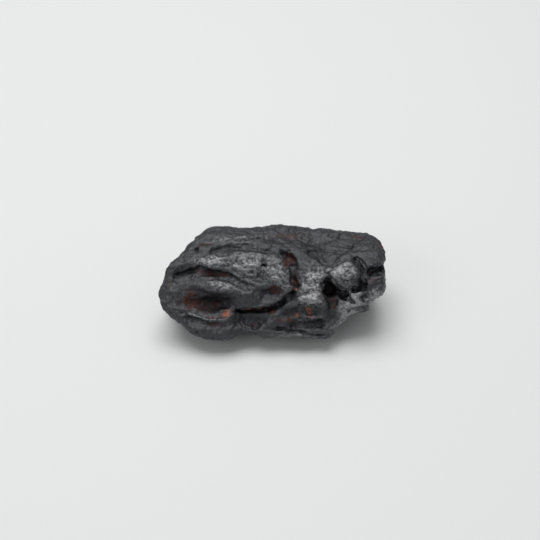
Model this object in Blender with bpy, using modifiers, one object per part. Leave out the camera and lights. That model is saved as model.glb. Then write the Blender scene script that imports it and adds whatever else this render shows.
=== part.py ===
"""An iron meteorite: one lump of metal, 45 mm long, shaped by its flight through the air.

The lump is a boulder of soft faces with a few smaller ones grown out of it.  Shallow
thumbprints, swellings, overlapping lips and cracks are then pressed into it, each laid
out as a viewer sees it from one side.  X runs along the lump, Y from its front to its
rear, and Z up from its resting spot.
"""

import bmesh
import bpy
import numpy as np
from mathutils import Vector, noise

MM = 0.001

# The boulders, in millimetres: the body, and the four small ones grown out of its right
# end.  Each face is given by the way it looks and by its distance from the middle.
BODY_MIDDLE = (0.0, -0.5, 7.4)
BODY_FACES = {
    "top": ((0.06, 0.0, 1.0), 7.6),
    "terrace": ((-0.06, -0.52, 0.85), 6.7),
    "front": ((0.03, -0.80, 0.57), 8.0),
    "rear slope": ((0.03, 0.67, 0.74), 10.9),
    "rear": ((0.05, 1.0, -0.1), 13.0),
    "rear foot": ((0.0, 0.7, -0.75), 11.0),
    "underside": ((0.0, 0.05, -1.0), 7.7),
    "front foot": ((0.0, -0.45, -0.9), 9.2),
    "front rim": ((0.01, -0.67, -0.74), 13.9),
    "left end": ((-0.98, 0.18, -0.08), 22.1),
    "left shoulder": ((-0.74, 0.45, 0.5), 17.6),
    "left toe": ((-0.58, -0.54, -0.61), 17.7),
    "left rear": ((-0.75, 0.6, -0.3), 18.4),
    "right end": ((0.97, 0.16, 0.1), 22.8),
    "right front": ((0.8, -0.55, 0.2), 20.2),
    "right shoulder": ((0.62, 0.53, 0.58), 22.3),
    "right toe": ((0.68, -0.5, -0.55), 15.7),
    "right rear": ((0.7, 0.7, -0.2), 20.0),
}
LUMP_MIDDLE = (13.9, -4.4, 12.7)
LUMP_FACES = {
    "top": ((0.05, -0.42, 0.9), 2.6),
    "front": ((0.2, -0.9, 0.38), 2.9),
    "upper left": ((-0.5, 0.57, 0.65), 2.3),
    "lower left": ((-0.8, -0.4, -0.44), 3.0),
    "foot": ((-0.05, -0.67, -0.74), 3.3),
    "right": ((0.85, 0.34, 0.4), 2.9),
    "right foot": ((0.99, -0.11, -0.12), 3.1),
    "root": ((0.0, 0.74, -0.67), 3.0),
}
KNOB_MIDDLE = (19.3, -5.4, 11.0)
KNOB_FACES = {
    "face": ((0.1, -0.74, 0.67), 2.2),
    "top": ((0.0, 0.6, 0.8), 2.6),
    "foot": ((-0.1, -0.67, -0.74), 2.7),
    "right": ((1.0, -0.1, 0.1), 2.2),
    "right foot": ((0.7, -0.5, -0.5), 2.6),
    "left": ((-1.0, -0.1, 0.0), 2.0),
    "root": ((-0.3, 0.74, -0.6), 3.4),
}
OUTCROP_MIDDLE = (16.6, -7.1, 9.6)
OUTCROP_FACES = {
    "face": ((-0.1, -0.7, 0.7), 1.7),
    "top": ((0.1, 0.6, 0.8), 1.5),
    "foot": ((0.2, -0.67, -0.74), 2.0),
    "right": ((1.0, -0.2, -0.2), 3.2),
    "left": ((-1.0, -0.1, 0.1), 2.2),
    "root": ((0.0, 0.74, -0.67), 2.6),
}
SPUR_MIDDLE = (15.7, -7.2, 7.2)
SPUR_FACES = {
    "face": ((0.1, -0.74, 0.67), 1.4),
    "top": ((0.0, 0.6, 0.8), 1.4),
    "foot": ((0.1, -0.67, -0.74), 1.6),
    "right": ((1.0, 0.1, 0.1), 3.2),
    "left": ((-1.0, 0.0, 0.0), 2.2),
    "root": ((0.0, 0.74, -0.67), 3.0),
}
BODY_CUTS = 63
SMALL_CUTS = 15
BODY_ROUNDING = 14.0
SMALL_ROUNDING = 7.0

# The viewpoints that the relief is laid out from, in millimetres.  A spot in the relief
# is (across, up) in the plane through a viewpoint's aim that faces it.  A surface takes
# the relief where the cosine between its normal and the way to the eye is above a band.
FRONT_EYE = (-0.9, -156.0, 150.5)
FRONT_AIM = (-0.9, 0.0, 10.0)
REAR_EYE = (0.0, 170.0, 60.0)
REAR_AIM = (0.0, 0.0, 8.0)
UNDER_EYE = (0.0, -20.0, -170.0)
UNDER_AIM = (0.0, 0.0, 6.0)
FACING_BAND = (-0.2, 0.0)
HIDDEN_BAND = (-0.45, 0.1)

# Swellings and hollows: the middle, the half length and half width, the turn in degrees
# and the rise.  Each falls off as exp(-steepness * r ** power), with r its elliptic radius.
SWELLING_STEEPNESS = 1.2
SWELLING_POWER = 2.8
FRONT_SWELLINGS = {
    "left toe": ((-11.4, -12.6), (4.8, 2.4), -4, 1.0),
    "left flank": ((-19.6, -3.8), (1.6, 2.6), 0, 0.3),
    "left temple": ((-20.4, 0.8), (2.4, 2.2), 0, 0.6),
    "shoulder, left": ((-12.6, 1.8), (5.4, 1.7), 4, 0.8),
    "shoulder, middle": ((-4.8, 1.0), (3.4, 2.6), 10, 1.1),
    "shoulder, right": ((1.6, -0.6), (4.8, 2.4), -48, 1.6),
    "middle swelling": ((-9.6, -3.4), (5.4, 1.7), -6, 1.0),
    "middle boss": ((-4.0, -5.0), (2.4, 1.4), 0, 0.3),
    "bowl": ((-12.0, -6.7), (5.4, 2.0), -4, -2.0),
    "bowl floor": ((-10.4, -6.7), (3.0, 1.2), -6, -0.9),
    "under the shoulder": ((0.6, -4.9), (3.6, 1.5), 32, -0.7),
    "front pit": ((-4.2, -10.0), (3.2, 1.5), 0, -1.5),
    "plateau": ((7.8, -1.6), (2.8, 4.4), 0, 0.6),
    "plateau foot": ((7.6, -6.2), (3.6, 1.8), 6, 1.1),
    "low terrace": ((9.0, -9.2), (3.2, 0.8), 0, 0.3),
    "above the plateau": ((10.6, 2.6), (3.6, 1.6), -14, -0.7),
    "upper slope": ((11.0, 5.4), (4.6, 1.6), -10, -0.3),
    "upper ridge": ((2.0, 7.8), (5.0, 1.4), 2, 0.6),
    "top edge, left": ((-10.0, 8.0), (7.0, 1.0), 0, 0.2),
    "right lobe": ((20.8, 3.6), (3.2, 3.4), 0, 0.9),
    "cavity": ((12.5, -3.6), (1.5, 2.3), -24, -2.8),
    "under the lump": ((14.4, -4.4), (2.4, 1.2), -12, -2.0),
    "cavity valley": ((12.6, -7.8), (1.4, 3.4), 4, -1.3),
    "rim step": ((15.0, -10.0), (2.6, 1.0), 46, -0.7),
    "rim": ((6.6, -13.8), (3.6, 1.2), 0, 0.5),
    "rim corner": ((11.4, -13.0), (2.2, 1.2), 0, 0.8),
    "base notch": ((-4.4, -14.2), (2.6, 1.4), 0, -2.1),
}
REAR_SWELLINGS = {
    "rear boss": ((-7.6, -0.6), (1.8, 2.2), 0, 0.6),
    "rear brow": ((2.0, 7.0), (9.0, 1.4), 3, 0.5),
    "rear shelf": ((12.4, -6.4), (4.0, 1.4), -10, 0.7),
}
UNDER_SWELLINGS = {
    "front arch": ((4.6, 8.6), (7.0, 2.4), 0, -1.0),
    "left arch": ((-9.6, 3.6), (3.6, 3.0), 12, -1.0),
    "rear arch": ((2.0, -8.4), (6.0, 2.4), 4, -0.6),
}

# Grooves: the path, the width and the depth.  A path is a smooth curve, drawn in this many
# parts per spot.  Over this share of the length at each end a groove or a lip thins out,
# and this share of a groove's depth is left at its very end.
PATH_PARTS = 6
THINNING = 0.15
END_DEPTH = 0.2
FRONT_GROOVES = {
    "upper trough": (((-12.8, 3.2), (-9.6, 4.3), (-7.0, 4.6), (-1.6, 4.1), (1.6, 3.8)), 0.8, 0.6),
    "left crease": (((-19.8, -1.5), (-17.6, -1.3), (-15.4, -0.2)), 1.0, 0.8),
    "lobe valley": (((-0.6, 2.4), (-1.7, 0.4), (-2.6, -1.8)), 0.5, 0.45),
    "fissure": (((2.4, 3.8), (4.2, 2.2), (4.9, 0.0), (5.2, -2.2), (5.5, -4.0)), 0.6, 1.1),
    "side groove": (((6.8, 0.6), (7.2, -1.0), (6.8, -3.0)), 0.4, 0.2),
    "lump crease": (((16.4, 2.6), (17.6, 1.7), (18.4, 0.6), (18.8, -1.0)), 0.45, 0.8),
    "right gap": (((18.2, -2.0), (19.4, -1.0), (20.8, -0.2), (24.0, 0.4)), 0.7, 2.6),
    "right step": (((18.0, -4.6), (20.0, -6.6), (23.0, -7.4)), 1.0, 1.3),
    "outcrop crack": (((14.2, -4.6), (15.6, -5.9), (17.2, -6.9)), 0.4, 0.9),
    "knob crack": (((16.0, -3.9), (18.0, -3.6), (19.0, -2.6)), 0.45, 1.0),
    "undercut sill": (((-17.6, -8.8), (-15.0, -10.6), (-11.6, -11.6), (-8.2, -11.4)), 1.0, 0.8),
    "plateau recess": (((1.4, -8.6), (4.6, -8.8), (7.6, -8.2), (10.4, -8.6)), 0.7, 0.9),
    "low band": (((2.4, -10.6), (6.4, -10.9), (10.0, -10.7), (12.6, -10.2)), 0.8, 0.8),
    "rim crack": (((-0.4, -11.8), (4.0, -12.3), (8.4, -12.9), (12.0, -12.9)), 0.3, 0.5),
}
REAR_GROOVES = {
    "rear crack": (((-17.0, 4.6), (-12.0, 5.6), (-6.0, 5.0), (-1.0, 6.0), (6.0, 5.4)), 0.6, 0.7),
    "rear fissure": (((5.4, 4.0), (3.4, 0.6), (4.2, -2.6)), 0.6, 0.8),
    "foot crack": (((-14.0, -5.0), (-9.0, -7.4), (-3.0, -7.8)), 0.6, 0.7),
}
UNDER_GROOVES = {
    "under crack": (((6.0, 4.0), (9.4, 5.2), (14.0, 5.0), (17.0, 3.4)), 0.6, 0.7),
    "under fissure": (((-6.0, -2.6), (-7.4, -6.0), (-5.6, -9.0)), 0.6, 0.7),
}

# Lips, where one fold of metal lies over another: the path, with the fold on its left,
# then the rise and reach of the fold, then the rise and reach of what it lies over.  The
# step from one to the other is twice this edge wide.
FRONT_LIPS = {
    "top step": (((8.6, 6.2), (8.1, 7.6), (7.8, 9.4)), (0.3, 2.0), (-0.3, 1.2)),
    "shoulder lip": (
        ((-15.4, 0.2), (-13.8, 0.3), (-12.4, -0.4), (-9.2, -0.9), (-6.4, -2.2), (-4.2, -3.3), (-1.0, -4.0),
         (2.6, -4.1)),
        (0.2, 1.0),
        (-1.1, 0.9),
    ),
    "long crack": (
        ((-8.0, -8.4), (-5.0, -8.2), (-1.6, -8.1), (0.6, -7.6), (2.8, -5.8), (4.2, -4.8), (5.6, -3.7)),
        (0.2, 1.6),
        (-1.8, 0.9),
    ),
    "bowl lip": (
        ((-17.4, -8.2), (-15.0, -9.2), (-12.0, -9.7), (-9.0, -9.6), (-7.4, -8.6)),
        (-0.7, 1.0),
        (0.4, 1.2),
    ),
}
LIP_EDGE = 0.16

# The thumbprints that cover the sides away from the front: how far apart they lie, how
# wide each is as a share of that, how deep, and which pattern they follow.
THUMBPRINT_SPACING = 7.5
THUMBPRINT_REACH = 0.8
THUMBPRINT_DEPTH = 1.9
THUMBPRINT_PATTERN = 5.0

# How far outlines stray, and how uneven the lump is: the size of the waves, their height
# and which pattern they follow.
WANDER = ((3.4, 0.45, 3.0), (1.5, 0.2, 9.0))
UNEVENNESS = ((6.5, 0.26, 21.0), (3.0, 0.2, 34.0), (1.5, 0.12, 47.0))

# The size of the mesh's cells before and after the outgrowths are fused, how near the
# resting plane a point counts as on it, the facets left at the end, and the angle in
# degrees from which an edge between two of them stays sharp.
BODY_VOXEL = 0.3
FINE_VOXEL = 0.22
FLOOR_TOLERANCE = 0.001
TRIANGLES = 9500
SHARP_ANGLE = 50.0

IRON = {
    "Base Color": (0.13, 0.125, 0.12, 1.0),
    "Metallic": 0.85,
    "Roughness": 0.42,
}


def read_vectors(mesh, field):
    flat = np.empty(len(mesh.vertices) * 3, np.float32)
    mesh.vertices.foreach_get(field, flat)
    return flat.reshape(-1, 3).astype(float)


def points_of(mesh):
    return read_vectors(mesh, "co") / MM


def move_points(mesh, points):
    mesh.vertices.foreach_set("co", (points * MM).astype(np.float32).ravel())
    mesh.update()


def smooth_step(low, high, value):
    share = np.clip((value - low) / (high - low), 0.0, 1.0)
    return share * share * (3.0 - 2.0 * share)


def boulder(middle, faces, rounding, cuts):
    """A finely divided cube blown out to flat faces whose edges are rounded off."""
    mesh = bpy.data.meshes.new("boulder")
    cube = bmesh.new()
    bmesh.ops.create_cube(cube, size=2.0)
    bmesh.ops.subdivide_edges(cube, edges=cube.edges[:], cuts=cuts, use_grid_fill=True)
    cube.to_mesh(mesh)
    cube.free()
    points = read_vectors(mesh, "co")
    ways = points / np.linalg.norm(points, axis=1)[:, None]
    nearness = np.zeros(len(ways))
    for look, distance in faces.values():
        normal = np.array(look) / np.linalg.norm(look)
        nearness += np.maximum(ways @ normal / distance, 0.0) ** rounding
    reach = nearness ** (-1.0 / rounding)
    move_points(mesh, np.array(middle) + ways * reach[:, None])
    return mesh


def joined(meshes):
    """One mesh of several, which the next remesh fuses."""
    whole = bmesh.new()
    for mesh in meshes:
        whole.from_mesh(mesh)
        bpy.data.meshes.remove(mesh)
    result = bpy.data.meshes.new("joined")
    whole.to_mesh(result)
    whole.free()
    return result


def modified(mesh, kind, **settings):
    """The mesh after one modifier."""
    holder = bpy.data.objects.new("holder", mesh)
    bpy.context.scene.collection.objects.link(holder)
    modifier = holder.modifiers.new(kind.title(), kind)
    for name, value in settings.items():
        setattr(modifier, name, value)
    graph = bpy.context.evaluated_depsgraph_get()
    result = bpy.data.meshes.new_from_object(holder.evaluated_get(graph))
    bpy.data.objects.remove(holder)
    bpy.data.meshes.remove(mesh)
    return result


def remeshed(mesh, voxel):
    return modified(mesh, "REMESH", mode="VOXEL", voxel_size=voxel * MM)


def seen_from(points, eye, aim):
    """(across, up) of each point in the view plane, and the unit ways from them to the eye."""
    eye, aim = np.array(eye), np.array(aim)
    span = np.linalg.norm(aim - eye)
    ahead = (aim - eye) / span
    right = np.cross(ahead, (0.0, 0.0, 1.0))
    right /= np.linalg.norm(right)
    upward = np.cross(right, ahead)
    away = points - eye
    shrink = span / (away @ ahead)
    back = -away / np.linalg.norm(away, axis=1)[:, None]
    return away @ right * shrink, away @ upward * shrink, back


def waves(points, size, pattern):
    """A smooth uneven field between about -0.5 and 0.5 whose waves are of one size."""
    shift = Vector((pattern, pattern, pattern))
    return np.array([noise.noise(Vector(point) / size + shift) for point in points])


def wander(points):
    """How far the relief's outlines stray at each point, so that none of them is a clean curve."""
    stray = np.zeros((len(points), 3))
    for size, reach, pattern in WANDER:
        for axis in range(3):
            stray[:, axis] += reach * waves(points, size, pattern + axis)
    return stray


def unevenness(points):
    return sum(rise * waves(points, size, pattern) for size, rise, pattern in UNEVENNESS)


def swelling(across, up, at, size, turn):
    """1 in the middle of an ellipse, falling smoothly to 0 outside it."""
    angle = np.radians(turn)
    x, y = across - at[0], up - at[1]
    along = (x * np.cos(angle) + y * np.sin(angle)) / size[0]
    aside = (y * np.cos(angle) - x * np.sin(angle)) / size[1]
    return np.exp(-SWELLING_STEEPNESS * np.hypot(along, aside) ** SWELLING_POWER)


def curved(path):
    """A smooth curve through the spots of a path."""
    spots = np.array(path, float)
    ends = (2 * spots[:1] - spots[1:2], spots, 2 * spots[-1:] - spots[-2:-1])
    spots = np.concatenate(ends)
    t = np.linspace(0.0, 1.0, PATH_PARTS, endpoint=False)[:, None]
    runs = []
    for a, b, c, d in zip(spots[:-3], spots[1:-2], spots[2:-1], spots[3:]):
        cubic = 3 * (b - c) + d - a
        square = 2 * a - 5 * b + 4 * c - d
        runs.append(b + 0.5 * t * (c - a + t * (square + t * cubic)))
    return np.concatenate(runs + [spots[-2:-1]])


def beside(across, up, path):
    """Each spot's distance from a path, its side (1 on the left) and its share of the length."""
    spots = curved(path)
    steps = np.linalg.norm(np.diff(spots, axis=0), axis=1)
    nearest = np.full(len(across), np.inf)
    side = np.zeros(len(across))
    share = np.zeros(len(across))
    run = 0.0
    for (x0, y0), (x1, y1), step in zip(spots[:-1], spots[1:], steps):
        dx, dy = (x1 - x0) / step, (y1 - y0) / step
        px, py = across - x0, up - y0
        along = np.clip(px * dx + py * dy, 0.0, step)
        gap = np.hypot(px - along * dx, py - along * dy)
        closer = gap < nearest
        nearest[closer] = gap[closer]
        side[closer] = np.sign(dx * py - dy * px)[closer]
        share[closer] = ((run + along) / steps.sum())[closer]
        run += step
    return nearest, side, share


def taper(share):
    return smooth_step(0.0, THINNING, share) * smooth_step(0.0, THINNING, 1.0 - share)


def groove(across, up, path, width):
    """1 along a path, falling to 0 beside it and thinning out at both ends."""
    distance, _, share = beside(across, up, path)
    return np.exp(-((distance / width) ** 2)) * (END_DEPTH + (1.0 - END_DEPTH) * taper(share))


def lip(across, up, path, fold, floor):
    """A fold of metal that ends along a path, above what it lies over."""
    distance, side, share = beside(across, up, path)
    left = 0.5 + 0.5 * np.tanh(distance * side / LIP_EDGE)
    high = fold[0] * np.exp(-((distance / fold[1]) ** 2))
    low = floor[0] * np.exp(-((distance / floor[1]) ** 2))
    return (left * high + (1.0 - left) * low) * taper(share)


def thumbprints(points):
    """Bowls packed side by side, with a ridge where two of them meet."""
    shift = Vector((THUMBPRINT_PATTERN, THUMBPRINT_PATTERN, THUMBPRINT_PATTERN))
    spots = [Vector(point) / THUMBPRINT_SPACING + shift for point in points]
    gaps = np.array([noise.voronoi(spot)[0][0] for spot in spots])
    return -THUMBPRINT_DEPTH * np.clip(1.0 - (gaps / THUMBPRINT_REACH) ** 2, 0.0, 1.0)


def pit_far_sides(mesh):
    """Presses the thumbprints into all that the front viewpoint doesn't see."""
    points = points_of(mesh)
    normals = read_vectors(mesh, "normal")
    back = seen_from(points, FRONT_EYE, FRONT_AIM)[2]
    hidden = 1.0 - smooth_step(*HIDDEN_BAND, (normals * back).sum(axis=1))
    height = thumbprints(points + wander(points)) * hidden
    move_points(mesh, points + normals * height[:, None])


def press(mesh, eye, aim, swellings=None, grooves=None, lips=None):
    """Moves the points in or out along their normals by the relief seen from one side."""
    points = points_of(mesh)
    normals = read_vectors(mesh, "normal")
    across, up, back = seen_from(points + wander(points), eye, aim)
    height = np.zeros(len(points))
    for at, size, turn, rise in (swellings or {}).values():
        height += rise * swelling(across, up, at, size, turn)
    for path, width, depth in (grooves or {}).values():
        height -= depth * groove(across, up, path, width)
    for path, fold, floor in (lips or {}).values():
        height += lip(across, up, path, fold, floor)
    facing = smooth_step(*FACING_BAND, (normals * back).sum(axis=1))
    move_points(mesh, points + normals * (height * facing)[:, None])


def roughen(mesh):
    points = points_of(mesh)
    normals = read_vectors(mesh, "normal")
    move_points(mesh, points + normals * unevenness(points)[:, None])


def rest_on_floor(mesh):
    """Cuts the lump flat at its resting plane, and sets it down over the origin."""
    lump = bmesh.new()
    lump.from_mesh(mesh)
    parts = lump.verts[:] + lump.edges[:] + lump.faces[:]
    cut = bmesh.ops.bisect_plane(
        lump,
        geom=parts,
        dist=FLOOR_TOLERANCE * MM,
        plane_co=(0.0, 0.0, 0.0),
        plane_no=(0.0, 0.0, -1.0),
        clear_outer=True,
    )
    rim = [part for part in cut["geom_cut"] if isinstance(part, bmesh.types.BMEdge)]
    bmesh.ops.holes_fill(lump, edges=rim, sides=0)
    bmesh.ops.triangulate(lump, faces=lump.faces[:])
    bmesh.ops.recalc_face_normals(lump, faces=lump.faces[:])
    lump.to_mesh(mesh)
    lump.free()
    points = points_of(mesh)
    middle = 0.5 * (points.min(axis=0) + points.max(axis=0))
    middle[2] = points[:, 2].min()
    move_points(mesh, points - middle)


def meteorite_iron():
    material = bpy.data.materials.new("meteorite iron")
    material.use_nodes = True
    finish = material.node_tree.nodes["Principled BSDF"]
    for name, value in IRON.items():
        finish.inputs[name].default_value = value
    return material


def main():
    for leftover in list(bpy.data.objects):
        bpy.data.objects.remove(leftover)
    body = boulder(BODY_MIDDLE, BODY_FACES, BODY_ROUNDING, BODY_CUTS)
    mesh = remeshed(body, BODY_VOXEL)
    pit_far_sides(mesh)
    press(mesh, FRONT_EYE, FRONT_AIM, swellings=FRONT_SWELLINGS)
    press(mesh, REAR_EYE, REAR_AIM, swellings=REAR_SWELLINGS)
    press(mesh, UNDER_EYE, UNDER_AIM, swellings=UNDER_SWELLINGS)
    outgrowths = [
        boulder(middle, faces, SMALL_ROUNDING, SMALL_CUTS)
        for middle, faces in (
            (LUMP_MIDDLE, LUMP_FACES),
            (KNOB_MIDDLE, KNOB_FACES),
            (OUTCROP_MIDDLE, OUTCROP_FACES),
            (SPUR_MIDDLE, SPUR_FACES),
        )
    ]
    mesh = remeshed(joined([mesh] + outgrowths), FINE_VOXEL)
    press(mesh, FRONT_EYE, FRONT_AIM, grooves=FRONT_GROOVES, lips=FRONT_LIPS)
    press(mesh, REAR_EYE, REAR_AIM, grooves=REAR_GROOVES)
    press(mesh, UNDER_EYE, UNDER_AIM, grooves=UNDER_GROOVES)
    roughen(mesh)
    mesh = remeshed(mesh, FINE_VOXEL)
    mesh = modified(mesh, "DECIMATE", ratio=TRIANGLES / (2 * len(mesh.polygons)))
    rest_on_floor(mesh)
    mesh.shade_smooth()
    mesh.set_sharp_from_angle(angle=np.radians(SHARP_ANGLE))
    mesh.materials.append(meteorite_iron())
    mesh.name = "meteorite"
    collection = bpy.data.collections.new("iron meteorite")
    bpy.context.scene.collection.children.link(collection)
    collection.objects.link(bpy.data.objects.new("meteorite", mesh))


main()
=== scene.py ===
import math

import bmesh
import bpy
import numpy as np
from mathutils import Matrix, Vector, noise


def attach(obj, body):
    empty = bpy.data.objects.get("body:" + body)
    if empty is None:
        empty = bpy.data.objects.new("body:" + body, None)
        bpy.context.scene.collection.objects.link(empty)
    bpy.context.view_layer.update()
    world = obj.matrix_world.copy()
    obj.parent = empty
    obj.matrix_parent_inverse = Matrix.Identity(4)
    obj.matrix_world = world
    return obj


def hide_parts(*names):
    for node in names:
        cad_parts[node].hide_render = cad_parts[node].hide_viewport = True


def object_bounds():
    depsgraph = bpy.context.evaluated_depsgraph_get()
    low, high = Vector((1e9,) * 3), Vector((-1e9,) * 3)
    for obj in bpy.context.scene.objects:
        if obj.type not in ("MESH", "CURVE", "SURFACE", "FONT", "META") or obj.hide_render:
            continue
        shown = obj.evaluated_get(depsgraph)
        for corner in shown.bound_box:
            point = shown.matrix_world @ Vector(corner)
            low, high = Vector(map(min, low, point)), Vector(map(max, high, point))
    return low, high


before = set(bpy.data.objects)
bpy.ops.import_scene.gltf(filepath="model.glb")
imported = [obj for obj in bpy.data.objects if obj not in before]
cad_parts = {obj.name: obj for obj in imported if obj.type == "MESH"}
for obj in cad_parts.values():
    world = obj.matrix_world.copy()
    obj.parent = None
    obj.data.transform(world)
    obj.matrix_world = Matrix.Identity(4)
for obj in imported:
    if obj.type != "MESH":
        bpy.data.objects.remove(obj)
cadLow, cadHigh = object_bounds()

mm = 0.001

# camera, floor and light, in metres and watts
studio = {
    "eye": (-0.0006005, -0.1554918, 0.1505),
    "aim": (-0.0006005, 0.0005082, 0.010),
    "frameWidth": 0.108,  # what the picture takes in across, at the aim
    "sensor": 36.0,
    "nearest": 0.01,  # the camera sees nothing closer than this
    "floorSize": 8.0,
    "floorColor": (0.80, 0.81, 0.80, 1.0),
    "floorRoughness": 0.65,
    "airColor": (0.97, 0.985, 1.0, 1.0),
    "airStrength": 0.30,
    "softboxSize": (0.50, 0.40),
    "softboxAt": (-0.05, 0.14, 0.54),
    "softboxPower": 2.5,
    "fillSize": (0.5, 0.3),
    "fillAt": (-0.45, -0.35, 0.40),
    "fillPower": 0.5,
}


# a socket of a node tree that can be used in sums
class Wire:
    def __init__(self, tree, socket):
        self.tree = tree
        self.socket = socket

    def math(self, operation, first, second):
        return nodeIn(self.tree, "ShaderNodeMath", {"operation": operation}, {0: first, 1: second})

    def __add__(self, other):
        return self.math("ADD", self, other)

    def __radd__(self, other):
        return self.math("ADD", other, self)

    def __sub__(self, other):
        return self.math("SUBTRACT", self, other)

    def __rsub__(self, other):
        return self.math("SUBTRACT", other, self)

    def __mul__(self, other):
        return self.math("MULTIPLY", self, other)

    def __rmul__(self, other):
        return self.math("MULTIPLY", other, self)

    def __rtruediv__(self, other):
        return self.math("DIVIDE", other, self)

    def ramp(self, low, high):  # 0 below low, 1 above high, smooth in between
        return nodeIn(
            self.tree, "ShaderNodeMapRange", {"interpolation_type": "SMOOTHSTEP"},
            {"Value": self, "From Min": low, "From Max": high},
        )


# a new node: its settings first, then a value or a wire for each socket
def nodeIn(tree, kind, settings=None, values=None, output=0):
    made = tree.nodes.new(kind)
    for name, value in (settings or {}).items():
        setattr(made, name, value)
    for name, value in (values or {}).items():
        if isinstance(value, Wire):
            tree.links.new(value.socket, made.inputs[name])
        else:
            made.inputs[name].default_value = value
    return Wire(tree, made.outputs[output]) if len(made.outputs) else made


def aimed(thing, at, target):
    thing.location = at
    thing.rotation_euler = (Vector(target) - Vector(at)).to_track_quat("-Z", "Y").to_euler()
    bpy.context.scene.collection.objects.link(thing)
    return thing


def makeStudio():
    eye, aim = Vector(studio["eye"]), Vector(studio["aim"])
    camera = bpy.data.cameras.new("camera")
    camera.sensor_width = studio["sensor"]
    camera.lens = studio["sensor"] * (aim - eye).length / studio["frameWidth"]
    camera.clip_start = studio["nearest"]
    bpy.context.scene.camera = aimed(bpy.data.objects.new("camera", camera), eye, aim)
    for name in ("softbox", "fill"):
        lamp = bpy.data.lights.new(name, "AREA")
        lamp.shape = "RECTANGLE"
        lamp.size, lamp.size_y = studio[name + "Size"]
        lamp.energy = studio[name + "Power"]
        aimed(bpy.data.objects.new(name, lamp), studio[name + "At"], (0.0, 0.0, 0.0))
    air = bpy.data.worlds.new("air")
    air.use_nodes = True
    glow = air.node_tree.nodes["Background"]
    glow.inputs["Color"].default_value = studio["airColor"]
    glow.inputs["Strength"].default_value = studio["airStrength"]
    bpy.context.scene.world = air
    bpy.context.scene.view_settings.view_transform = "Standard"

    ground = bmesh.new()
    bmesh.ops.create_grid(ground, x_segments=1, y_segments=1, size=studio["floorSize"] / 2)
    floorMesh = bpy.data.meshes.new("floor")
    ground.to_mesh(floorMesh)
    ground.free()
    floor = bpy.data.objects.new("floor", floorMesh)
    bpy.context.scene.collection.objects.link(floor)
    paint = bpy.data.materials.new("paleFloor")
    paint.use_nodes = True
    finish = paint.node_tree.nodes["Principled BSDF"]
    finish.inputs["Base Color"].default_value = studio["floorColor"]
    finish.inputs["Roughness"].default_value = studio["floorRoughness"]
    floorMesh.materials.append(paint)


makeStudio()
print("studio ready")

# the lump's fine form, in millimetres
lump = {
    "mergeWithin": 0.0005,
    "cell": 0.15,  # size of the fine mesh's cells
    "smoothing": 30,  # rounds that take the solid's facets off
    "triangles": 190000,
    "wander": ((2.2, 0.35, 3.0), (0.8, 0.16, 9.0)),  # how outlines stray: wave size, reach, pattern
    "pathParts": 5,  # how finely a path is curved
    "facing": (-0.05, 0.15),  # carving fades out where the surface turns away from the camera
    "crackEnds": 0.12,  # share of its length over which a crack runs out
    "endDepth": 0.15,  # share of its depth that is left at its ends
    "spotPower": 1.3,  # how flat the middle of a pit or patch is
}

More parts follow.
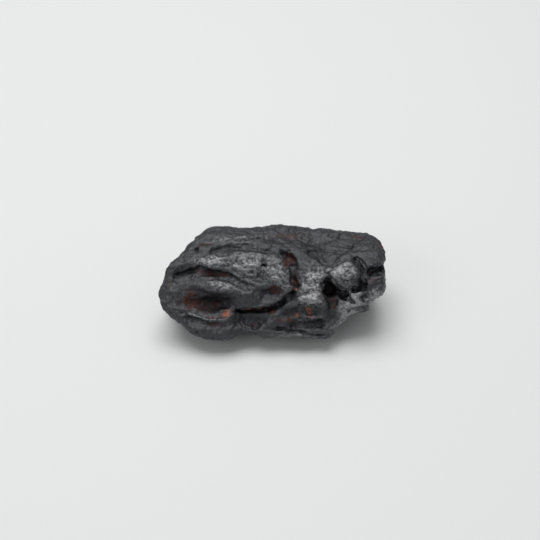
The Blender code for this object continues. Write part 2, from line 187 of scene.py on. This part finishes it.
# cracks and creases: path across and up in the picture, width, depth
cracks = {
    "shoulderLine": (((-19.4, -1.2), (-15.0, 0.0), (-14.0, 0.3), (-11.4, -0.4), (-9.2, -1.0),
                      (-7.4, -1.4), (-6.0, -2.2), (-4.8, -3.0), (-3.6, -3.2), (-2.4, -4.0)), 0.42, 0.75),
    "longCrack": (((-7.6, -8.2), (-4.0, -8.1), (-1.6, -8.0), (0.4, -7.6),
                   (2.0, -6.4), (3.4, -5.2), (4.4, -4.6), (5.6, -3.6)), 0.34, 1.5),
    "fissure": (((2.0, 4.0), (3.0, 3.0), (4.4, 2.4), (4.8, 1.0),
                 (4.6, -0.4), (5.0, -2.0), (5.4, -3.6)), 0.3, 0.9),
    "fissureSide": (((3.2, 2.8), (3.6, 1.2), (4.6, 0.6)), 0.25, 0.4),
    "thinCrack": (((6.8, 0.4), (6.6, -0.8), (7.0, -2.2)), 0.14, 0.22),
    "underLump": (((11.8, 1.0), (11.4, -0.4), (12.6, -2.2),
                   (14.0, -3.6), (16.0, -4.2), (18.0, -4.0)), 0.34, 0.45),
    "lumpCrease": (((16.4, 2.8), (17.6, 1.6), (18.4, 0.0), (18.6, -2.0), (18.0, -4.0)), 0.26, 0.6),
    "lobeCrease": (((17.2, 2.8), (18.8, 1.4), (19.6, -0.2)), 0.22, 0.45),
    "rightGap": (((19.2, -1.4), (20.4, -0.2), (22.0, 0.2), (24.0, 0.0)), 0.4, 0.5),
    "rimCrack": (((0.8, -11.8), (4.0, -12.2), (6.6, -12.4), (8.0, -13.0), (11.6, -13.0)), 0.24, 0.6),
    "lowBand": (((3.6, -11.0), (7.0, -11.2), (11.0, -10.4)), 0.7, 0.4),
    "upperTrough": (((-9.0, 4.8), (-6.0, 4.2), (-1.6, 4.0), (1.6, 3.6)), 0.4, 0.35),
    "upperFold": (((-14.4, 4.2), (-11.0, 5.4), (-6.0, 6.2), (-1.0, 6.4), (2.0, 6.0)), 0.28, 0.26),
    "upperFoldLow": (((-16.0, 2.4), (-12.0, 3.4), (-8.0, 4.8), (-3.0, 5.2)), 0.28, 0.24),
    "farFold": (((6.0, 4.8), (9.0, 5.2), (13.0, 5.0), (17.0, 4.4)), 0.3, 0.26),
    "farFoldLow": (((7.0, 3.4), (10.4, 3.8), (14.0, 3.6)), 0.3, 0.26),
    "scratch": (((-6.4, 2.8), (-6.8, 2.0), (-6.6, 1.4)), 0.16, 0.3),
    "hook": (((-6.2, 1.8), (-5.4, 1.4), (-5.6, 0.8)), 0.14, 0.25),
    "lobeWrinkleA": (((1.4, 1.4), (2.6, 0.2), (3.6, -1.6)), 0.16, 0.16),
    "lobeWrinkleB": (((0.8, 0.4), (2.0, -1.2), (3.4, -3.0)), 0.16, 0.18),
    "lobeWrinkleC": (((2.6, 1.8), (3.6, 0.4), (4.2, -1.0)), 0.14, 0.16),
    "lumpMarkA": (((13.0, 0.8), (14.4, 0.2), (15.8, -0.4)), 0.14, 0.16),
    "lumpMarkB": (((13.8, 2.0), (15.0, 1.0), (16.6, 0.6)), 0.14, 0.15),
    "lumpMarkC": (((13.4, -1.6), (15.0, -2.2), (16.8, -1.8)), 0.18, 0.25),
    "outcropA": (((15.0, -4.2), (16.0, -6.0), (17.0, -7.0)), 0.2, 0.5),
    "outcropB": (((16.4, -4.2), (18.4, -3.6), (19.4, -3.0)), 0.2, 0.5),
    "knobLine": (((20.0, -3.6), (20.2, -4.6), (20.6, -5.4)), 0.16, 0.3),
    "terraceLine": (((6.6, -6.6), (7.6, -7.0), (9.4, -6.8)), 0.18, 0.25),
    "toeLine": (((-15.6, -12.0), (-13.0, -13.4), (-9.0, -13.6)), 0.3, 0.25),
    "undercut": (((-17.4, -8.4), (-15.6, -9.8), (-12.0, -10.8), (-9.4, -10.6)), 0.5, 0.45),
}

# pits and hollows: middle, half sizes, depth
pits = {
    "topPit": ((-14.6, 4.2), (0.35, 0.3), 0.5),
    "toePit": ((-14.8, -12.6), (0.35, 0.3), 0.5),
    "lobePit": ((-3.6, -0.4), (0.4, 0.3), 0.35),
    "shoulderPit": ((-1.2, 1.0), (0.6, 0.35), 0.55),
    "leftPit": ((-17.4, 1.6), (0.35, 0.3), 0.35),
    "frontPit": ((-4.2, -10.4), (2.6, 1.2), 0.5),
    "bowlPit": ((-12.6, -6.9), (3.4, 1.3), 0.5),
    "redPatch": ((1.2, -4.1), (1.3, 0.9), 0.4),
    "cavity": ((11.7, -3.4), (0.9, 1.9), 0.9),
    "valley": ((12.6, -6.6), (0.8, 1.6), 0.4),
}


def holding(mesh):
    holder = bpy.data.objects.new("holder", mesh)
    bpy.context.scene.collection.objects.link(holder)
    return holder


# the holder's mesh with its modifier applied
def applied(holder):
    graph = bpy.context.evaluated_depsgraph_get()
    made = bpy.data.meshes.new_from_object(holder.evaluated_get(graph))
    bpy.data.objects.remove(holder)
    return made


def reshaped(mesh, kind, **settings):
    holder = holding(mesh)
    modifier = holder.modifiers.new(kind.lower(), kind)
    for name, value in settings.items():
        setattr(modifier, name, value)
    return applied(holder)


def vectorsOf(mesh, field="co"):
    flat = np.empty(len(mesh.vertices) * 3, np.float32)
    mesh.vertices.foreach_get(field, flat)
    return flat.reshape(-1, 3).astype(float)


def setPoints(mesh, points):
    mesh.vertices.foreach_set("co", (points * mm).astype(np.float32).ravel())
    mesh.update()


# smooth unevenness around zero
def waves(points, size, pattern):
    shift = Vector((pattern, pattern, pattern))
    return np.array([noise.noise(Vector(point) / size + shift) for point in points.tolist()])


def wandered(points):
    stray = np.zeros_like(points)
    for size, reach, pattern in lump["wander"]:
        for axis in range(3):
            stray[:, axis] += reach * waves(points, size, pattern + axis)
    return points + stray


# where points are in the picture, across and up, and the ways from them to the camera
def asSeen(points):
    eye, aim = np.array(studio["eye"]) / mm, np.array(studio["aim"]) / mm
    span = np.linalg.norm(aim - eye)
    ahead = (aim - eye) / span
    upward = np.cross((1.0, 0.0, 0.0), ahead)
    away = points - eye
    shrink = span / (away @ ahead)
    back = -away / np.linalg.norm(away, axis=1)[:, None]
    return away[:, 0] * shrink, away @ upward * shrink, back


def smoothStep(low, high, value):
    share = np.clip((value - low) / (high - low), 0.0, 1.0)
    return share * share * (3.0 - 2.0 * share)


# a smooth curve through a path's spots
def curved(path):
    spots = np.array(path, float)
    spots = np.concatenate((2 * spots[:1] - spots[1:2], spots, 2 * spots[-1:] - spots[-2:-1]))
    t = np.linspace(0.0, 1.0, lump["pathParts"], endpoint=False)[:, None]
    runs = []
    for a, b, c, d in zip(spots[:-3], spots[1:-2], spots[2:-1], spots[3:]):
        bend = 2 * a - 5 * b + 4 * c - d + t * (3 * (b - c) + d - a)
        runs.append(b + 0.5 * t * (c - a + t * bend))
    return np.concatenate(runs + [spots[-2:-1]])


# how far each point is from a path, and at what share of its length
def besidePath(across, up, path):
    spots = curved(path)
    nearest = np.full(len(across), np.inf)
    share = np.zeros(len(across))
    steps = np.linalg.norm(np.diff(spots, axis=0), axis=1)
    done = 0.0
    for (x0, y0), (x1, y1), step in zip(spots[:-1], spots[1:], steps):
        dx, dy = (x1 - x0) / step, (y1 - y0) / step
        along = np.clip((across - x0) * dx + (up - y0) * dy, 0.0, step)
        gap = np.hypot(across - x0 - along * dx, up - y0 - along * dy)
        closer = gap < nearest
        nearest[closer] = gap[closer]
        share[closer] = ((done + along) / steps.sum())[closer]
        done += step
    return nearest, share


# 1 in the middle of an ellipse, smoothly down to 0 outside it
def spotAt(across, up, at, size, turn=0.0):
    angle = math.radians(turn)
    x, y = across - at[0], up - at[1]
    along = (x * math.cos(angle) + y * math.sin(angle)) / size[0]
    aside = (y * math.cos(angle) - x * math.sin(angle)) / size[1]
    return np.exp(-((along**2 + aside**2) ** lump["spotPower"]))


def carve(mesh):
    points = vectorsOf(mesh) / mm
    normals = vectorsOf(mesh, "normal")
    _, _, back = asSeen(points)
    facing = (normals * back).sum(axis=1)
    seen = facing > lump["facing"][0]
    across, up, _ = asSeen(wandered(points[seen]))
    depth = np.zeros(len(across))
    left, span = lump["endDepth"], lump["crackEnds"]
    for path, width, deep in cracks.values():
        gap, share = besidePath(across, up, path)
        ends = smoothStep(0.0, span, share) * smoothStep(0.0, span, 1.0 - share)
        depth += deep * np.exp(-((gap / width) ** 2)) * (left + (1.0 - left) * ends)
    for at, size, deep in pits.values():
        depth += deep * spotAt(across, up, at, size)
    depth *= smoothStep(*lump["facing"], facing[seen])
    points[seen] -= normals[seen] * depth[:, None]
    setPoints(mesh, points)


# wrinkles, grain, flow lines and pits over the whole lump: sizes, heights and depths in millimetres
skin = {
    "wrinkleSize": 1.5,
    "wrinkleHeight": 0.75,
    "wrinkleDetail": 2.0,
    "grainSize": 0.55,
    "grainHeight": 0.34,
    "grainDetail": 2.0,
    "flowSize": 1.2,
    "flowHeight": 0.6,
    "flowDetail": 1.5,
    "flowStretch": 4.0,  # flow lines are this much longer than they are wide
    "pitSpacing": 1.2,
    "pitDepth": 0.28,
    "pitFloor": 0.12,  # where a pit's floor ends, as a share of the spacing
    "pitRim": 0.42,  # where its wall ends
    "pitSoftness": 0.3,
    "pitPatchSize": 3.0,  # pits gather in patches
    "pitPatchDetail": 1.0,
    "pitPatchEdge": 0.16,
    "roughness": 0.55,  # how strongly the finer waves show
    "seed": 7.0,
}


def skinTree(material):
    tree = bpy.data.node_groups.new("wornSkin", "GeometryNodeTree")
    tree.is_modifier = True
    tree.interface.new_socket(name="Geometry", in_out="INPUT", socket_type="NodeSocketGeometry")
    named = {}
    for name in skin:
        named[name] = tree.interface.new_socket(name=name, in_out="INPUT", socket_type="NodeSocketFloat")
    tree.interface.new_socket(name="Geometry", in_out="OUTPUT", socket_type="NodeSocketGeometry")
    inlets = nodeIn(tree, "NodeGroupInput").socket.node.outputs
    given = {name: Wire(tree, inlets[name]) for name in skin}

    place = nodeIn(tree, "GeometryNodeInputPosition")
    inMm = nodeIn(tree, "ShaderNodeVectorMath", {"operation": "SCALE"}, {0: place, "Scale": 1 / mm})

    def waveField(name, vector=inMm):
        return nodeIn(
            tree, "ShaderNodeTexNoise", {"noise_dimensions": "4D"},
            {"Vector": vector, "W": given["seed"], "Scale": 1.0 / given[name + "Size"],
             "Detail": given[name + "Detail"], "Roughness": given["roughness"]},
        ) - 0.5  # centred on zero

    stretch = nodeIn(tree, "ShaderNodeCombineXYZ", None, {0: 1.0 / given["flowStretch"], 1: 1.0, 2: 1.0})
    flowing = nodeIn(tree, "ShaderNodeVectorMath", {"operation": "MULTIPLY"}, {0: inMm, 1: stretch})
    cell = nodeIn(
        tree, "ShaderNodeTexVoronoi", {"voronoi_dimensions": "4D", "feature": "SMOOTH_F1"},
        {"Vector": inMm, "W": given["seed"], "Scale": 1.0 / given["pitSpacing"],
         "Smoothness": given["pitSoftness"]},
    )
    gathered = waveField("pitPatch").ramp(0.0, given["pitPatchEdge"])
    pit = (1.0 - cell.ramp(given["pitFloor"], given["pitRim"])) * gathered
    height = (
        waveField("wrinkle") * given["wrinkleHeight"]
        + waveField("grain") * given["grainHeight"]
        + waveField("flow", flowing) * given["flowHeight"]
        - pit * given["pitDepth"]
    ) * mm
    normal = nodeIn(tree, "GeometryNodeInputNormal")
    offset = nodeIn(tree, "ShaderNodeVectorMath", {"operation": "SCALE"}, {0: normal, "Scale": height})
    moved = nodeIn(
        tree, "GeometryNodeSetPosition", None,
        {"Geometry": Wire(tree, inlets["Geometry"]), "Offset": offset},
    )
    whole = nodeIn(tree, "GeometryNodeRealizeInstances", None, {"Geometry": moved})
    dressed = nodeIn(tree, "GeometryNodeSetMaterial", None, {"Geometry": whole, "Material": material})
    nodeIn(tree, "NodeGroupOutput", None, {"Geometry": dressed})
    return tree, named


def roughened(mesh, material):
    holder = holding(mesh)
    tree, named = skinTree(material)
    modifier = holder.modifiers.new("wornSkin", "NODES")
    modifier.node_group = tree
    for name, value in skin.items():
        modifier[named[name].identifier] = value
    return applied(holder)


# where rust, orange rust, and wear with painted highlights show: middle, half sizes, turn in degrees,
# strength
rustPatches = (
    ((-12.8, -0.5), (2.2, 0.6), -6, 0.9), ((-9.2, -1.0), (1.6, 0.5), -6, 0.9),
    ((-16.0, -5.6), (2.4, 2.2), 0, 0.7), ((-13.0, -7.4), (4.2, 1.6), -5, 0.6),
    ((1.2, -4.0), (1.6, 1.2), -30, 0.8), ((3.8, 1.8), (1.2, 1.9), -20, 1.0),
    ((5.0, -2.0), (0.7, 2.0), -8, 1.0), ((3.4, -10.0), (3.0, 0.9), 0, 0.7),
    ((12.6, -6.6), (0.9, 1.9), 0, 0.7), ((3.0, 6.8), (3.8, 0.9), 0, 0.6),
    ((17.4, 6.4), (1.8, 0.6), -8, 0.6), ((22.2, 5.0), (1.0, 1.6), 20, 0.6),
    ((-13.0, 5.0), (1.6, 0.5), 10, 0.6), ((-3.0, -7.9), (4.4, 0.5), 2, 0.8),
    ((-20.2, -2.8), (0.9, 1.4), 0, 0.5), ((-11.0, -11.0), (2.4, 0.7), -6, 0.5),
    ((11.4, -4.2), (0.5, 1.6), 0, 0.7), ((20.4, -2.4), (1.5, 1.3), 0, 0.5),
    ((8.2, -3.6), (0.9, 0.6), 0, 0.5), ((9.6, -2.4), (0.5, 0.5), 0, 0.5),
    ((-4.0, -11.0), (2.4, 0.8), 0, 0.4),
)
orangeSpots = (
    ((-8.8, -8.8), (1.1, 0.9), 30, 1.0), ((7.4, -8.0), (1.0, 0.6), 10, 1.0),
    ((8.2, -9.0), (0.7, 0.5), 0, 0.8), ((5.2, -9.0), (0.6, 0.5), 0, 0.8),
    ((0.4, -8.4), (0.6, 0.4), 0, 0.8), ((4.6, 6.4), (0.5, 0.35), 0, 0.7),
    ((5.3, -4.0), (0.35, 0.7), 0, 0.8), ((4.9, -2.6), (0.25, 0.5), 0, 0.6),
    ((20.6, -2.0), (1.1, 0.8), 0, 0.35), ((-11.4, -9.6), (1.8, 0.35), -8, 0.4),
    ((22.4, 4.0), (0.4, 0.7), 0, 0.4),
)
# wear patches that are mostly painted highlights: paler, glossier metal laid where the light catches the
# lump
wearAndHighlightPatches = (
    ((-11.0, 1.6), (4.6, 1.4), 2, 0.8), ((-4.6, 0.8), (3.0, 2.8), 0, 0.9),
    ((1.2, -0.8), (3.8, 2.2), -48, 0.9), ((9.0, -2.6), (2.6, 3.4), 0, 1.0),
    ((8.2, -6.0), (3.0, 1.5), 0, 0.9), ((14.6, -0.4), (2.8, 2.4), 0, 1.0),
    ((15.8, -7.2), (2.2, 1.9), 40, 1.6), ((16.8, -4.9), (1.8, 1.0), -20, 1.2),
    ((19.0, -6.2), (1.8, 1.1), 0, 1.1), ((21.2, -4.8), (1.4, 0.9), 0, 1.1),
    ((-9.4, -3.2), (4.4, 1.3), -8, 0.6), ((-7.0, 6.2), (6.0, 0.8), 4, 0.4),
    ((8.0, -9.6), (3.2, 0.6), 0, 0.5), ((14.0, -10.4), (2.6, 0.7), 46, 1.0),
    ((-13.8, -9.4), (4.0, 0.5), -8, 0.5), ((5.0, -13.0), (5.0, 0.7), 0, 0.4),
)

# how those patches lie on the lump, and what the sides out of sight get instead
paintwork = {
    "facing": (-0.10, 0.15),  # the patches fade out where the surface turns away from the camera
    "hollowSmoothing": 40,  # rounds of smoothing that the hollows are measured against
    "blotches": ((5.0, 1.0, 61.0), (2.0, 0.6, 71.0)),  # rust on the far sides: size, weight, pattern
    "blotchEdges": (0.12, 0.50),
    "blotchRust": 0.9,
    "farWorn": 0.35,  # how worn the far sides are
}


def paintPatches(mesh):
    points = vectorsOf(mesh) / mm
    normals = vectorsOf(mesh, "normal")
    across, up, back = asSeen(wandered(points))
    seen = smoothStep(*paintwork["facing"], (normals * back).sum(axis=1))
    softened = vectorsOf(reshaped(mesh, "SMOOTH", iterations=paintwork["hollowSmoothing"])) / mm
    hollow = ((softened - points) * normals).sum(axis=1)  # how far a point lies below those round it
    blotch = sum(weight * waves(points, size, pattern) for size, weight, pattern in paintwork["blotches"])
    farRust = paintwork["blotchRust"] * smoothStep(*paintwork["blotchEdges"], blotch)
    layers = {"hollow": hollow}
    # the wear layer holds painted highlights where the lump is in view, and wear only on the far sides
    for name, patches, far in (
        ("rust", rustPatches, farRust),
        ("orange", orangeSpots, 0.0),
        ("wearAndHighlight", wearAndHighlightPatches, paintwork["farWorn"]),
    ):
        shown = sum(strength * spotAt(across, up, at, size, turn) for at, size, turn, strength in patches)
        layers[name] = far * (1.0 - seen) + shown * seen
    for name, values in layers.items():
        layer = mesh.attributes.new(name, "FLOAT", "POINT")
        layer.data.foreach_set("value", values.astype(np.float32))


# dark semi-gloss iron, paler with wear and with painted highlights, rusty and darkened with painted shade
# in the hollows; sizes in millimetres
iron = {
    "dark": (0.062, 0.063, 0.068, 1.0),
    "pale": (0.31, 0.31, 0.32, 1.0),
    "rust": (0.060, 0.018, 0.013, 1.0),
    "orange": (0.32, 0.105, 0.06, 1.0),
    # near-black painted shade, laid into the hollows and cracks where shade falls
    "paintedShade": (0.012, 0.010, 0.010, 1.0),
    "metallic": 0.85,
    "roughDark": 0.38,
    "roughPale": 0.30,
    "roughRust": 0.72,
    "roughSpeck": 0.12,
    "mottle": (0.55, 4.0, 0.6),  # noise: size in millimetres, detail, roughness
    "cloud": (2.6, 3.0, 0.6),
    "speck": (0.22, 2.0, 0.6),
    "coarseFleck": (0.9, 5.0, 0.7),
    "fineFleck": (0.35, 3.0, 0.6),
    "grain": (0.45, 4.0, 0.7),
    "grainDepth": 0.16,
    "fineShare": 0.4,  # how much the finer of two noises counts in their mix
    "raisedEdges": (-0.06, 0.05),  # depth at which metal is wholly raised, and no longer raised
    "deepEdges": (0.02, 0.35),  # depth at which a hollow begins, and is at its darkest
    "mottleEdges": (0.42, 0.58),
    "cloudEdges": (0.40, 0.62),
    "fleckEdges": (0.40, 0.60),
    "rustEdges": (0.18, 0.90),
    "orangeEdges": (0.20, 0.85),
    "coverEdges": (0.0, 1.2),
    "mottledPale": 0.65,  # how much mottling, standing proud, and wear with painted highlights each make metal paler
    "raisedPale": 0.45,
    "wearAndHighlightPale": 0.85,
    "hollowRust": 0.55,  # old rust that hollows have anyway
    "leastRust": 0.35,  # what is left of a patch between its flecks
    "leastOrange": 0.30,
    "orangeMottle": 0.5,
    # how strongly the hollows are darkened with painted shade
    "paintedShadeStrength": 0.85,
}


def ironMaterial():
    material = bpy.data.materials.new("meteoriteIron")
    material.use_nodes = True
    tree = material.node_tree
    tree.nodes.clear()
    place = nodeIn(tree, "ShaderNodeTexCoord", None, None, "Object")

    def attribute(name):
        return nodeIn(tree, "ShaderNodeAttribute", {"attribute_name": name}, None, "Fac")

    def field(name):
        size, detail, roughness = iron[name]
        return nodeIn(
            tree, "ShaderNodeTexNoise", None,
            {"Vector": place, "Scale": 1.0 / (size * mm), "Detail": detail, "Roughness": roughness},
        )

    def mixed(mask, first, second):
        return nodeIn(tree, "ShaderNodeMix", {"data_type": "RGBA"}, {0: mask, 6: first, 7: second}, 2)

    # the fourth layer is wear together with painted highlights
    hollow, rust, orange, wearAndHighlight = (attribute(name) for name in ("hollow", "rust", "orange", "wearAndHighlight"))
    mottle, cloud, speck = (field(name) for name in ("mottle", "cloud", "speck"))
    fine = iron["fineShare"]
    flecks = (field("coarseFleck") * (1.0 - fine) + field("fineFleck") * fine).ramp(*iron["fleckEdges"])
    raised = 1.0 - hollow.ramp(*iron["raisedEdges"])
    deep = hollow.ramp(*iron["deepEdges"])

    mottled = (mottle * (1.0 - fine) + speck * fine).ramp(*iron["mottleEdges"])
    bare = mottled * iron["mottledPale"] + raised * iron["raisedPale"]
    # wear and painted highlights make the metal paler and glossier
    wearAndHighlightShare = wearAndHighlight * iron["wearAndHighlightPale"] + (1.0 - iron["wearAndHighlightPale"])
    # the hollows are kept from going pale, part of the painted shade
    pale = (bare * wearAndHighlightShare * (1.0 - deep)).ramp(0.0, 1.0)
    oldRust = deep * iron["hollowRust"] * cloud.ramp(*iron["cloudEdges"])
    rusted = (rust * (iron["leastRust"] + flecks) + oldRust).ramp(*iron["rustEdges"])
    spotted = orange * (iron["leastOrange"] + flecks) * (iron["orangeMottle"] + mottle)
    bright = spotted.ramp(*iron["orangeEdges"])
    covered = (rusted + bright).ramp(*iron["coverEdges"])

    metal = mixed(pale, iron["dark"], iron["pale"])
    # painted shade: metal in the hollows is darkened towards near black by depth
    shadedMetal = mixed(deep * iron["paintedShadeStrength"], metal, iron["paintedShade"])
    color = mixed(bright, mixed(rusted, shadedMetal, iron["rust"]), iron["orange"])
    roughness = (
        iron["roughDark"]
        - pale * (iron["roughDark"] - iron["roughPale"])
        + speck * iron["roughSpeck"]
        + covered * (iron["roughRust"] - iron["roughDark"])
    )
    grain = nodeIn(
        tree, "ShaderNodeBump", None,
        {"Height": field("grain") + speck * fine, "Distance": iron["grainDepth"] * mm},
    )
    finish = nodeIn(
        tree, "ShaderNodeBsdfPrincipled", None,
        {"Base Color": color, "Metallic": iron["metallic"] * (1.0 - covered),
         "Roughness": roughness, "Normal": grain},
    )
    nodeIn(tree, "ShaderNodeOutputMaterial", None, {"Surface": finish})
    return material


def makeMeteorite():
    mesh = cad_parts["meteorite"].data.copy()
    mesh.materials.clear()
    loose = bmesh.new()
    loose.from_mesh(mesh)
    bmesh.ops.remove_doubles(loose, verts=loose.verts, dist=lump["mergeWithin"] * mm)
    loose.to_mesh(mesh)
    loose.free()
    mesh = reshaped(mesh, "REMESH", mode="VOXEL", voxel_size=lump["cell"] * mm)
    mesh = reshaped(mesh, "SMOOTH", iterations=lump["smoothing"])
    print("fine mesh ready:", len(mesh.polygons), "cells")
    carve(mesh)
    print("cracks and pits carved")
    mesh = reshaped(mesh, "REMESH", mode="VOXEL", voxel_size=lump["cell"] * mm)
    material = ironMaterial()
    mesh = roughened(mesh, material)
    # held to the solid's box; thinning the mesh then moves points by a few thousandths of a millimetre
    setPoints(mesh, np.clip(vectorsOf(mesh), cadLow, cadHigh) / mm)
    mesh = reshaped(mesh, "DECIMATE", ratio=lump["triangles"] / (2 * len(mesh.polygons)))
    print("skin worn")
    paintPatches(mesh)
    mesh.shade_smooth()
    mesh.materials.clear()
    mesh.materials.append(material)
    mesh.name = "meteoriteLump"
    piece = bpy.data.objects.new("meteoriteLump", mesh)
    bpy.context.scene.collection.objects.link(piece)
    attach(piece, "root")
    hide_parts("meteorite")
    print("meteorite ready:", len(mesh.polygons), "faces")


makeMeteorite()
